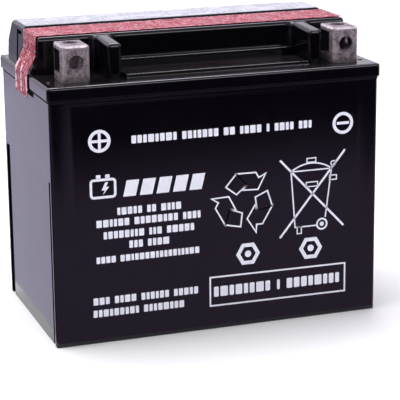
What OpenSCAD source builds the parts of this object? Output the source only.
// Twelve-volt motorcycle battery: six cells in a moulded container under a welded lid.
// Origin at the centre of the footprint, +X towards the negative terminal, -Y is the
// terminal side, +Z up.

/* [Overall size] */
// Length over the lid rim, along X
length = 150; // [140:1:180]
// Width over the lid rim, along Y
width = 87; // [82:1:105]
// Height from the floor to the top of the label
height = 130; // [118:1:165]

/* [Container] */
// Outer wall thickness
wall = 2.6; // [2:0.1:3.4]
// Floor thickness
floor_t = 2.8; // [2:0.1:4]
// Thickness of the walls between cells
partition_t = 1.6; // [1.2:0.1:2.4]
// How far the container stands back under the lid rim
rim_overhang = 0.8; // [0.4:0.1:1.5]
// Radius of the upright corners
corner_r = 1.5; // [1:0.5:4]
// Chamfer round the foot
foot_chamfer = 0.6; // [0.5:0.1:2]
// Depth of the panels sunk into the walls
panel_depth = 0.5; // [0.3:0.1:0.8]
// Width of the sloping border of a panel
panel_slope = 2; // [1:0.1:3]
// Height of the sunk panel in each end wall
end_panel_h = 74; // [50:1:85]
// Width of the upright posts beside an end panel
end_post_w = 2.6; // [2.5:0.1:12]
// Width of the groove between a post and its end panel
post_groove_w = 4.2; // [1:0.1:6]
// Depth of the groove between a post and its end panel
post_groove_d = 1.2; // [0.8:0.1:1.6]
// Width left on each side of the long panels
long_panel_margin = 8.2; // [6:0.1:14]
// Height left below the long panels
long_panel_foot = 5; // [3:0.5:12]
// Height left between the long panels and the lid
long_panel_head = 2.2; // [1:0.1:6]

/* [Lid] */
// Height of the rim
rim_h = 5.7; // [4.5:0.1:8]
// Thickness of the deck
deck_t = 2.8; // [2:0.1:3.6]
// Chamfer along the top of the rim
rim_chamfer = 0.8; // [0.3:0.1:1.4]
// Height of the filler row over the deck
filler_h = 16; // [14:0.5:24]
// Depth of the filler row, along Y
filler_d = 24.6; // [23:0.1:30]
// Distance from the front of the rim to the filler row
filler_setback = 30.5; // [30:0.1:34]
// Wall thickness of the filler row
filler_wall = 2.2; // [1.6:0.1:3]
// Distance from each end of the rim to the raised rows
row_end_setback = 3.6; // [3:0.1:8]
// How far the end faces of the raised rows lean in over their height
row_end_lean = 0.8; // [0.2:0.1:2]
// Chamfer along the ends of the filler row's top
filler_end_chamfer = 0.5; // [0.3:0.1:1]

/* [Filler ports] */
// Radius of a filler port
port_r = 5.6; // [4:0.1:6.5]
// Wall thickness of the tube below a port
port_tube_t = 1.6; // [1:0.1:2]

/* [Vent cover] */
// Gap between the filler row and the vent cover
row_gap = 1.6; // [1:0.1:2.5]
// How far the vent cover stands above the filler row
vent_rise = 0.9; // [0.5:0.1:3]
// Distance from the rear of the rim to the vent cover
vent_setback = 2.1; // [1:0.1:4]
// Height over the deck at which the rear face starts to lean
vent_knee = 7; // [5:0.5:9]
// How far the rear face leans in from the knee to the top
vent_lean = 7; // [3:0.5:8]
// Wall thickness of the vent cover
vent_wall = 2; // [1.4:0.1:2.6]
// Edge chamfer of the vent cover
vent_chamfer = 0.7; // [0.3:0.1:1.2]
// Chamfer along the ends of the vent cover's top
vent_end_chamfer = 1; // [0.5:0.1:2]
// Depth of the grooves in the end faces
end_groove_depth = 1; // [0.5:0.1:1.2]
// Width of the upright groove in an end face
end_groove_w = 2.5; // [1.5:0.1:4]
// Height of the level groove in an end face
end_groove_h = 1.7; // [1:0.1:3]
// Height left above the level groove
end_groove_drop = 2.5; // [2:0.1:5]
// Distance from the front face to the upright groove
end_groove_setback = 9.3; // [6:0.1:14]
// Radius of the gas outlets in the rear face
outlet_r = 1; // [0.6:0.1:1.4]
// Radius of the flame arrestor discs
arrestor_r = 2.6; // [2:0.1:3]
// Thickness of the flame arrestor discs
arrestor_t = 1.8; // [1:0.1:3]
// Wall thickness of the sockets that hold the discs
socket_t = 0.9; // [0.6:0.1:1.2]

/* [Safety valves] */
// Outer radius of a vent spout
spout_r = 3.2; // [2.6:0.1:4]
// Bore radius of a vent spout
spout_bore_r = 1.4; // [0.8:0.1:2]
// Height of a vent spout over the deck
spout_h = 7; // [5:0.5:8]
// Side wall of a valve cap
valve_wall = 1.8; // [1.2:0.1:2.4]
// Top thickness of a valve cap
valve_top = 1.6; // [1:0.1:2]
// Lift of a valve cap before its stop
valve_lift = 0.6; // [0.3:0.1:1]
// Radius of the hold-down posts over the valves
post_stop_r = 2.2; // [1.5:0.1:3]

/* [Terminals] */
// Terminal width, along X
term_w = 12; // [11:0.1:14]
// Terminal depth, along Y
term_d = 15.4; // [14:0.1:18]
// Terminal height over the deck
term_h = 15.7; // [14.5:0.1:17]
// Distance from the front of the rim to the terminals
term_setback = 7; // [5:0.1:8]
// Distance from the left end of the rim to the positive terminal
positive_end_gap = 8.7; // [7:0.1:12]
// Distance from the right end of the rim to the negative terminal
negative_end_gap = 7.6; // [7:0.1:12]
// Radius of the bolt holes
bolt_r = 3.2; // [2.6:0.1:3.6]
// Depth of the nut slot, along Y
slot_d = 9.6; // [8:0.1:10.5]
// Height of the nut slot
slot_h = 9.8; // [8:0.1:10.5]
// Wall between the nut slot and the front face
slot_front = 4.6; // [2:0.1:5]
// Wall between the nut slot and the top face
slot_roof = 2.3; // [1.5:0.1:3.5]
// Wall that closes the right end of the nut slot
slot_end = 1.8; // [1.2:0.1:2.4]
// Radius of the hole in that wall
slot_end_r = 1.6; // [1:0.1:2]
// Chamfer round the top of a terminal
term_chamfer = 0.9; // [0.4:0.1:1.4]
// Radius of the upright edges of a terminal
term_corner_r = 1.8; // [0.5:0.1:2.4]
// Radius of the post below a terminal
stem_r = 4; // [3:0.1:4.4]
// Radial thickness of the seal round the post
stem_seal_t = 1.5; // [1:0.1:1.8]

/* [Ribs and platform] */
// Rib width
rib_w = 6.5; // [3:0.1:7.5]
// Rib height over the deck at its front end
rib_h = 15; // [10:0.1:15.2]
// How far the top of a rib rises up to the filler row
rib_rise = 0.7; // [0.2:0.1:0.8]
// Distance from the front of the rim to the ribs
rib_setback = 10.5; // [8:0.1:14]
// Radius of the hollow between a rib's side and the filler row
rib_fillet = 3; // [1:0.1:3.5]
// Clear space between the positive terminal and its rib
positive_rib_gap = 8.4; // [6:0.1:12]
// Clear space between the negative terminal and its rib
negative_rib_gap = 3.7; // [3.4:0.1:12]
// Platform height over the deck
platform_h = 1.7; // [1:0.1:3]
// Distance from the front of the rim to the platform
platform_setback = 9.5; // [8:0.1:14]
// Channel between the positive rib and the platform
platform_channel = 1.2; // [1:0.1:3]
// Corner radius of the platform
platform_r = 2; // [1:0.1:3]
// Height over the deck of the step along the filler row
step_h = 5.3; // [3:0.1:8]
// Depth of the step along the filler row
step_d = 4; // [2:0.1:6]

/* [Tape and label] */
// Thickness of the seal tape
tape_t = 0.25; // [0.15:0.05:0.4]
// Width of the seal tape
tape_w = 22.4; // [20:0.1:23]
// Air between the tape and the lid
tape_clear = 0.3; // [0.2:0.05:0.4]
// How far the tape's tail hangs below the rim
tape_tail = 4.4; // [2:0.1:12]
// Depth below the filler row's top at which the tail leaves the end face
tape_leave = 8; // [6:0.5:10]
// Thickness of the label
label_t = 0.12; // [0.08:0.02:0.2]
// Margin between the label and the edges of the vent cover's top
label_margin = 1.2; // [0.6:0.1:4]

/* [Cell elements] */
// Positive plates in a cell
positive_count = 4; // [2:1:5]
// Thickness of a positive plate
positive_t = 2; // [1.4:0.1:2.1]
// Thickness of a negative plate
negative_t = 1.35; // [1:0.05:1.5]
// Height of the plates
plate_h = 78; // [60:1:80]
// Space between a plate's edge and the long wall, along Y
plate_gap = 3.6; // [2:0.1:8]
// How far the separators stand past the plates
separator_reach = 1.6; // [1:0.1:1.8]
// Width of a plate's lug
lug_w = 9; // [6:0.5:10]
// Height of a plate's lug
lug_h = 7; // [5:0.5:8]
// Width of a strap, along Y
strap_w = 12; // [11:0.5:14]
// Thickness of a strap
strap_t = 4.5; // [3:0.5:5]
// Thickness of a riser beside a partition
riser_t = 2.6; // [2:0.1:4]
// Radius of the weld through a partition
weld_r = 3; // [2:0.1:3.4]

/* [Hidden] */
$fn = 48;
CELLS = 6;
function numbered(name) = [for (i = [1 : CELLS]) str(name, i)];

// Clearance of a fit, clearance beside a moving piece, and overrun of a cutting shape
fit = 0.05;
clear = 0.3;
over = 1;

// Heights
cover_top = height - label_t;
filler_top = cover_top - vent_rise;
deck = filler_top - filler_h;
container_h = deck - rim_h;
deck_under = deck - deck_t;

// Container
half_l = length / 2;
half_w = width / 2;
body_l = length - 2 * rim_overhang;
body_w = width - 2 * rim_overhang;
inner_l = body_l - 2 * wall;
inner_w = body_w - 2 * wall;
cell_w = (inner_l - (CELLS - 1) * partition_t) / CELLS;
pitch = cell_w + partition_t;
function cell_left(i) = -inner_l / 2 + i * pitch;
function cell_mid(i) = cell_left(i) + cell_w / 2;

// Raised rows
row_half_l = half_l - row_end_setback;
filler_y0 = -half_w + filler_setback;
filler_y1 = filler_y0 + filler_d;
port_y = (filler_y0 + filler_y1) / 2;
filler_chamfer = [1, 1.3];
vent_y0 = filler_y1 + row_gap;
vent_y1 = half_w - vent_setback;
vent_h = cover_top - deck;
vent_slant = vent_lean / (vent_h - vent_knee);
vent_top_y1 = vent_y1 - vent_lean;
vent_inner_y = vent_y1 - vent_wall;
vent_y = (vent_y0 + vent_y1) / 2;
valve_z1 = deck + spout_h + fit + valve_top;

// Terminals
term_y0 = -half_w + term_setback;
term_y = term_y0 + term_d / 2;
positive_x = -half_l + positive_end_gap + term_w / 2;
negative_x = half_l - negative_end_gap - term_w / 2;
slot_y = term_y0 + slot_front + slot_d / 2;
slot_z = deck + term_h - slot_roof - slot_h / 2;

// Ribs
positive_rib_x = positive_x + term_w / 2 + positive_rib_gap + rib_w / 2;
negative_rib_x = negative_x - term_w / 2 - negative_rib_gap - rib_w / 2;
rib_y0 = -half_w + rib_setback;

// Cell elements
negative_count = positive_count + 1;
separator_count = 2 * positive_count;
plates_t = positive_count * positive_t + negative_count * negative_t;
stack_gap = 0.01;
separator_t = (cell_w - plates_t - 2 * stack_gap) / separator_count - 2 * stack_gap;
layer_t = separator_t + 2 * stack_gap;
stack_step = positive_t + negative_t + 2 * layer_t;
plate_w = inner_w - 2 * plate_gap;
plate_top = floor_t + plate_h;
strap_z = plate_top + lug_h;
strap_top = strap_z + strap_t;
strap_y = term_y;
riser_h = 2 * weld_r + 2;
weld_z = strap_top + riser_h / 2;

// A rectangle with rounded corners, centred on the origin
module rounded_rect(l, w, r) {
    square([l - 2 * r, w], center = true);
    square([l, w - 2 * r], center = true);
    for (x = [-1, 1], y = [-1, 1])
        translate([x * (l / 2 - r), y * (w / 2 - r)]) circle(r);
}

// An outline in Y and Z, extruded along X about the middle
module along_x(l) {
    rotate([90, 0, 90]) translate([0, 0, -l / 2]) linear_extrude(l) children();
}

// An outline in X and Z, extruded along Y about the middle
module along_y(w) {
    rotate([90, 0, 0]) translate([0, 0, -w / 2]) linear_extrude(w) children();
}

// A cylinder that runs along Y from y0 to y1
module bar_y(r, y0, y1) {
    translate([0, y1, 0]) rotate([90, 0, 0]) cylinder(r = r, h = y1 - y0);
}

// A sunk panel with sloping borders: the face of the wall is the plane y = 0
module sunk_panel(w, z0, z1, foot_slope) {
    k = panel_slope / panel_depth;
    intersection() {
        linear_extrude(z1 + k + over) polygon([
            [-w / 2 - k, -1],
            [w / 2 + k, -1],
            [w / 2 - panel_slope, panel_depth],
            [-w / 2 + panel_slope, panel_depth]
        ]);
        along_x(w + 2 * k + over) polygon([
            [-1, z0 - foot_slope / panel_depth],
            [panel_depth, z0 + foot_slope],
            [panel_depth, z1 - panel_slope],
            [-1, z1 + k]
        ]);
    }
}

module container_block() {
    intersection() {
        linear_extrude(container_h) rounded_rect(body_l, body_w, corner_r);
        along_x(body_l + over) polygon([
            [-body_w / 2 + foot_chamfer, 0],
            [body_w / 2 - foot_chamfer, 0],
            [body_w / 2, foot_chamfer],
            [body_w / 2, container_h],
            [-body_w / 2, container_h],
            [-body_w / 2, foot_chamfer]
        ]);
        along_y(body_w + over) polygon([
            [-body_l / 2 + foot_chamfer, 0],
            [body_l / 2 - foot_chamfer, 0],
            [body_l / 2, foot_chamfer],
            [body_l / 2, container_h],
            [-body_l / 2, container_h],
            [-body_l / 2, foot_chamfer]
        ]);
    }
}

// The side of the partition weld: rear for odd connectors, front for even ones
function weld_y(i) = i % 2 == 1 ? -strap_y : strap_y;

module container() {
    long_w = body_l - 2 * long_panel_margin;
    end_w = body_w - 2 * end_post_w;
    color("#1b191d") difference() {
        container_block();
        translate([-inner_l / 2, -inner_w / 2, floor_t])
            cube([inner_l, inner_w, container_h]);
        for (a = [0, 180]) rotate(a) {
            translate([0, -body_w / 2, 0])
                sunk_panel(long_w, long_panel_foot, container_h - long_panel_head, panel_slope);
            rotate(90) translate([0, -body_l / 2, 0]) {
                sunk_panel(end_w, -over, end_panel_h, 0);
                for (side = [-1, 1])
                    translate([side * (end_w - post_groove_w) / 2 - post_groove_w / 2, -over, -over])
                        cube([post_groove_w, post_groove_d + over, end_panel_h - panel_slope + over]);
            }
        }
    }
}

// The wall between cell i and the cell before it, with a hole for the connector's weld
module partition(i) {
    color("#1b191d") translate([cell_left(i) - partition_t, 0, 0]) difference() {
        translate([0, -inner_w / 2, floor_t])
            cube([partition_t, inner_w, container_h - floor_t]);
        translate([-over, weld_y(i), weld_z]) rotate([0, 90, 0])
            cylinder(r = weld_r + fit, h = partition_t + 2 * over);
    }
}

// A rib on the deck, its top rising to the filler row and its foot spreading into the row's face
module rib(x) {
    w = rib_w / 2;
    r = rib_fillet;
    color("#1b191d") translate([x, 0, 0]) intersection() {
        translate([0, 0, deck]) linear_extrude(filler_h) {
            translate([-w, rib_y0]) square([rib_w, filler_y0 - rib_y0]);
            for (side = [-1, 1]) translate([side * (w + r / 2), filler_y0 - r / 2]) difference() {
                square(r, center = true);
                translate([side * r / 2, -r / 2]) circle(r);
            }
        }
        along_x(rib_w + 2 * r + over) polygon([
            [rib_y0 - over, deck - over],
            [filler_y0, deck - over],
            [filler_y0, deck + rib_h + rib_rise],
            [rib_y0 - over, deck + rib_h]
        ]);
    }
}

// The low platform from the positive rib's channel to the negative rib, its free corner rounded
module platform() {
    x0 = positive_rib_x + rib_w / 2 + platform_channel;
    x1 = negative_rib_x - rib_w / 2;
    y0 = -half_w + platform_setback;
    y1 = filler_y0 - step_d;
    r = platform_r;
    translate([0, 0, deck - over]) linear_extrude(platform_h + over) {
        translate([x0 + r, y0 + r]) circle(r);
        translate([x0 + r, y0]) square([x1 - x0 - r, y1 - y0]);
        translate([x0, y0 + r]) square([x1 - x0, y1 - y0 - r]);
    }
}

// The step between the ribs, along the foot of the filler row
module step() {
    x0 = positive_rib_x + rib_w / 2;
    x1 = negative_rib_x - rib_w / 2;
    difference() {
        translate([x0, filler_y0 - step_d, deck])
            cube([x1 - x0, step_d + filler_wall / 2, step_h]);
        rib(positive_rib_x);
        rib(negative_rib_x);
    }
}

// The end faces of a raised row with its top at z1, as an outline in X and Z
module row_ends(z0, z1, chamfer, inset = 0) {
    lean = row_end_lean / (z1 - deck);
    foot = row_half_l - inset + lean * (deck - z0);
    head = row_half_l - inset - row_end_lean;
    polygon([
        [-foot, z0],
        [foot, z0],
        [head + lean * chamfer, z1 - chamfer],
        [head - chamfer, z1],
        [chamfer - head, z1],
        [-head - lean * chamfer, z1 - chamfer]
    ]);
}

module filler_block() {
    intersection() {
        along_x(length) polygon([
            [filler_y0, deck],
            [filler_y1, deck],
            [filler_y1, filler_top],
            [filler_y0 + filler_chamfer[0], filler_top],
            [filler_y0, filler_top - filler_chamfer[1]]
        ]);
        along_y(width) row_ends(deck, filler_top, filler_end_chamfer);
    }
}

// The space over each cell inside the filler row
module filler_voids() {
    x_end = row_half_l - row_end_lean - filler_wall;
    for (i = [0 : CELLS - 1]) {
        x0 = max(cell_left(i), -x_end);
        x1 = min(cell_left(i) + cell_w, x_end);
        translate([x0, filler_y0 + filler_wall, deck - over])
            cube([x1 - x0, filler_d - 2 * filler_wall, filler_h - filler_wall + over]);
    }
}

// The filler ports, from under the deck to above the filler row
module ports() {
    for (i = [0 : CELLS - 1])
        translate([cell_mid(i), port_y, deck_under - over])
            cylinder(r = port_r, h = deck_t + filler_h + 2 * over);
}

module filler_row() {
    color("#1b191d") difference() {
        union() {
            difference() {
                filler_block();
                filler_voids();
            }
            for (i = [0 : CELLS - 1])
                translate([cell_mid(i), port_y, deck])
                    cylinder(r = port_r + port_tube_t, h = filler_h - filler_wall / 2);
            step();
        }
        ports();
    }
}

module rim() {
    intersection() {
        translate([0, 0, container_h]) linear_extrude(rim_h) rounded_rect(length, width, corner_r);
        along_x(length + over) polygon([
            [-half_w, container_h],
            [half_w, container_h],
            [half_w, deck - rim_chamfer],
            [half_w - rim_chamfer, deck],
            [-half_w + rim_chamfer, deck],
            [-half_w, deck - rim_chamfer]
        ]);
        along_y(width + over) polygon([
            [-half_l, container_h],
            [half_l, container_h],
            [half_l, deck - rim_chamfer],
            [half_l - rim_chamfer, deck],
            [-half_l + rim_chamfer, deck],
            [-half_l, deck - rim_chamfer]
        ]);
    }
}

module lid() {
    color("#1b191d") difference() {
        union() {
            rim();
            platform();
        }
        for (i = [0 : CELLS - 1]) {
            translate([cell_left(i), -inner_w / 2, container_h - over])
                cube([cell_w, inner_w, rim_h - deck_t + over]);
            translate([cell_mid(i), vent_y, deck_under - over])
                cylinder(r = spout_bore_r, h = deck_t + 2 * over);
        }
        ports();
        for (x = [positive_x, negative_x])
            translate([x, term_y, deck_under - over])
                cylinder(r = stem_r + stem_seal_t, h = deck_t + 2 * over);
    }
}

// The vent cover's section in Y and Z, grown or shrunk by a wall
module vent_section(shrink, z0) {
    slant_shrink = shrink * sqrt(1 + vent_slant * vent_slant);
    top = cover_top - shrink;
    rear = vent_y1 - shrink;
    knee = deck + vent_knee - (slant_shrink - shrink) / vent_slant;
    corner = shrink > 0 ? 0 : vent_chamfer;
    polygon([
        [vent_y0 + shrink, z0],
        [rear, z0],
        [rear, knee],
        [vent_y1 - slant_shrink - vent_slant * (top - deck - vent_knee), top],
        [vent_y0 + shrink + corner, top],
        [vent_y0 + shrink, top - corner]
    ]);
}

// The grooves in both end faces of the vent cover: up from the deck, then level to its front
module end_grooves() {
    y1 = vent_y0 + end_groove_setback;
    z1 = cover_top - end_groove_drop;
    difference() {
        along_x(length) polygon([
            [vent_y0 - over, z1 - end_groove_h],
            [y1, z1 - end_groove_h],
            [y1, deck - over],
            [y1 + end_groove_w, deck - over],
            [y1 + end_groove_w, z1],
            [vent_y0 - over, z1]
        ]);
        along_y(2 * width) row_ends(deck - 2 * over, cover_top, vent_end_chamfer, end_groove_depth);
    }
}

module vent_cover() {
    socket_z = deck + socket_t + arrestor_r + fit;
    socket_l = arrestor_t + socket_t;
    stop_z = valve_z1 + valve_lift + clear;
    inner_half_l = row_half_l - row_end_lean - vent_wall;
    color("#1b191d") difference() {
        union() {
            difference() {
                intersection() {
                    along_x(length) vent_section(0, deck);
                    along_y(2 * width) row_ends(deck, cover_top, vent_end_chamfer);
                }
                along_x(2 * inner_half_l) vent_section(vent_wall, deck - over);
                end_grooves();
            }
            for (i = [0 : CELLS - 1])
                translate([cell_mid(i), vent_y, stop_z])
                    cylinder(r = post_stop_r, h = cover_top - vent_wall / 2 - stop_z);
            for (i = [0, CELLS - 1])
                translate([cell_mid(i), 0, socket_z])
                    bar_y(arrestor_r + socket_t, vent_inner_y - socket_l, vent_inner_y + vent_wall / 2);
        }
        for (i = [0, CELLS - 1]) translate([cell_mid(i), 0, socket_z]) {
            bar_y(arrestor_r + fit / 2, vent_inner_y - socket_l - over, vent_inner_y);
            bar_y(outlet_r, vent_inner_y - over, vent_y1 + over);
        }
    }
}

module flame_arrestor(i) {
    color("#d9d4c8") translate([cell_mid(i), 0, deck + socket_t + arrestor_r + fit])
        bar_y(arrestor_r, vent_inner_y - arrestor_t, vent_inner_y);
}

module top_label() {
    y0 = vent_y0 + vent_chamfer + label_margin / 2;
    y1 = vent_top_y1 - label_margin;
    l = 2 * (row_half_l - row_end_lean - vent_end_chamfer - label_margin / 2);
    color("white") translate([0, (y0 + y1) / 2, cover_top])
        linear_extrude(label_t) square([l, y1 - y0], center = true);
}

// The tape lies along the filler row, leans out over the rim and hangs past it
module seal_tape() {
    y1 = filler_y1 - tape_clear;
    top = filler_top + tape_clear;
    lean = row_end_lean / filler_h;
    end_x = row_half_l - row_end_lean;
    corner_x = -end_x - tape_clear;
    leave_x = corner_x - lean * tape_leave;
    leave_z = filler_top - tape_leave;
    rim_x = -half_l - tape_clear;
    tail_z = container_h - tape_tail;
    color("#a8323e") translate([0, y1 - tape_w / 2, 0]) along_y(tape_w) polygon([
        [end_x, top],
        [corner_x, top],
        [leave_x, leave_z],
        [rim_x, deck],
        [rim_x, tail_z],
        [rim_x - tape_t, tail_z],
        [rim_x - tape_t, deck + tape_t],
        [leave_x - tape_t, leave_z + tape_t],
        [corner_x - tape_t, top + tape_t],
        [end_x, top + tape_t]
    ]);
}

// An upright outline with its foot below zero and both top corners chamfered
module chamfered_end(w, h, chamfer) {
    polygon([
        [-w / 2, -over],
        [w / 2, -over],
        [w / 2, h - chamfer],
        [w / 2 - chamfer, h],
        [chamfer - w / 2, h],
        [-w / 2, h - chamfer]
    ]);
}

module terminal_block() {
    intersection() {
        linear_extrude(term_h) rounded_rect(term_w, term_d, term_corner_r);
        along_x(term_w + over) chamfered_end(term_d, term_h, term_chamfer);
        along_y(term_d + over) chamfered_end(term_w, term_h, term_chamfer);
    }
}

// A hollow box terminal with bolt holes in front and on top and a nut slot from its left side
module terminal(x) {
    slot_x0 = -term_w / 2 - over;
    slot_x1 = term_w / 2 - slot_end;
    color("#8f8a8c") translate([x, 0, 0]) difference() {
        union() {
            translate([0, term_y, deck]) terminal_block();
            translate([0, term_y, strap_top]) cylinder(r = stem_r, h = deck - strap_top + slot_roof);
        }
        translate([slot_x0, slot_y - slot_d / 2, slot_z - slot_h / 2])
            cube([slot_x1 - slot_x0, slot_d, slot_h]);
        translate([0, slot_y, slot_z]) rotate([0, 90, 0]) cylinder(r = slot_end_r, h = term_w);
        translate([0, 0, slot_z]) bar_y(bolt_r, term_y0 - over, slot_y);
        translate([0, slot_y, slot_z]) cylinder(r = bolt_r, h = term_h);
    }
}

module stem_seal(x) {
    color("#2b2b30") translate([x, term_y, deck_under]) difference() {
        cylinder(r = stem_r + stem_seal_t - fit / 2, h = deck_t);
        translate([0, 0, -over]) cylinder(r = stem_r + fit / 2, h = deck_t + 2 * over);
    }
}

// The strap over one cell's lugs
module strap(i, y) {
    translate([cell_left(i) + fit, y - strap_w / 2, strap_z])
        cube([cell_w - 2 * fit, strap_w, strap_t]);
}

module end_strap(i) {
    color("#77777c") strap(i, strap_y);
}

// Two straps in neighbouring cells, joined by risers and a weld through the partition
module cell_connector(i) {
    y = weld_y(i);
    face = cell_left(i) - partition_t;
    color("#77777c") {
        for (side = [0, 1]) {
            strap(i - 1 + side, y);
            x = side == 0 ? face - riser_t - fit : face + partition_t + fit;
            translate([x, y - strap_w / 2, strap_top - over])
                cube([riser_t, strap_w, riser_h + over]);
        }
        translate([face - riser_t / 2, y, weld_z]) rotate([0, 90, 0])
            cylinder(r = weld_r, h = partition_t + riser_t);
    }
}

// The side of a cell's positive strap: front in the first cell, then rear and front in turn
function positive_y(i) = i % 2 == 0 ? strap_y : -strap_y;

// Left face of a cell's negative plate number k, counted from 0
function stack_x(i, k) = cell_left(i) + stack_gap + k * stack_step;

// One plate with its lug, its left face on x = 0
module plate(t, lug_y) {
    translate([0, -plate_w / 2, floor_t]) cube([t, plate_w, plate_h]);
    translate([0, lug_y - lug_w / 2, plate_top - over]) cube([t, lug_w, lug_h + over]);
}

module positive_plates(i) {
    color("#6b4a3c") for (k = [0 : positive_count - 1])
        translate([stack_x(i, k) + negative_t + layer_t, 0, 0])
            plate(positive_t, positive_y(i));
}

module negative_plates(i) {
    color("#8a8f94") for (k = [0 : negative_count - 1])
        translate([stack_x(i, k), 0, 0])
            plate(negative_t, -positive_y(i));
}

module separators(i) {
    w = plate_w + 2 * separator_reach;
    color("#e8e6df") for (k = [0 : positive_count - 1], side = [0, 1])
        translate([
            stack_x(i, k) + negative_t + stack_gap + side * (layer_t + positive_t),
            -w / 2,
            floor_t
        ]) cube([separator_t, w, plate_h + separator_reach]);
}

module vent_spout(i) {
    color("#1b191d") translate([cell_mid(i), vent_y, deck]) difference() {
        cylinder(r = spout_r, h = spout_h);
        translate([0, 0, -over]) cylinder(r = spout_bore_r, h = spout_h + 2 * over);
    }
}

// A rubber cap over a vent spout
module safety_valve(i) {
    z0 = deck + 2 * clear;
    color("#3a3a3f") translate([cell_mid(i), vent_y, 0]) difference() {
        translate([0, 0, z0]) cylinder(r = spout_r + fit + valve_wall, h = valve_z1 - z0);
        translate([0, 0, z0 - over]) cylinder(r = spout_r + fit, h = valve_z1 - valve_top - z0 + over);
    }
}

container();
lid();
filler_row();
rib(positive_rib_x);  // rib_positive
rib(negative_rib_x);  // rib_negative
vent_cover();
top_label();
seal_tape();
terminal(positive_x);  // terminal_positive
terminal(negative_x);  // terminal_negative
stem_seal(positive_x);  // stem_seal_positive
stem_seal(negative_x);  // stem_seal_negative
end_strap(0);  // end_strap_positive
end_strap(CELLS - 1);  // end_strap_negative
for (i = [1 : CELLS - 1]) {
    partition(i);
    cell_connector(i);
}
for (i = [0 : CELLS - 1]) {
    positive_plates(i);
    negative_plates(i);
    separators(i);
    vent_spout(i);
    safety_valve(i);
}
flame_arrestor(0);  // flame_arrestor_left
flame_arrestor(CELLS - 1);  // flame_arrestor_right
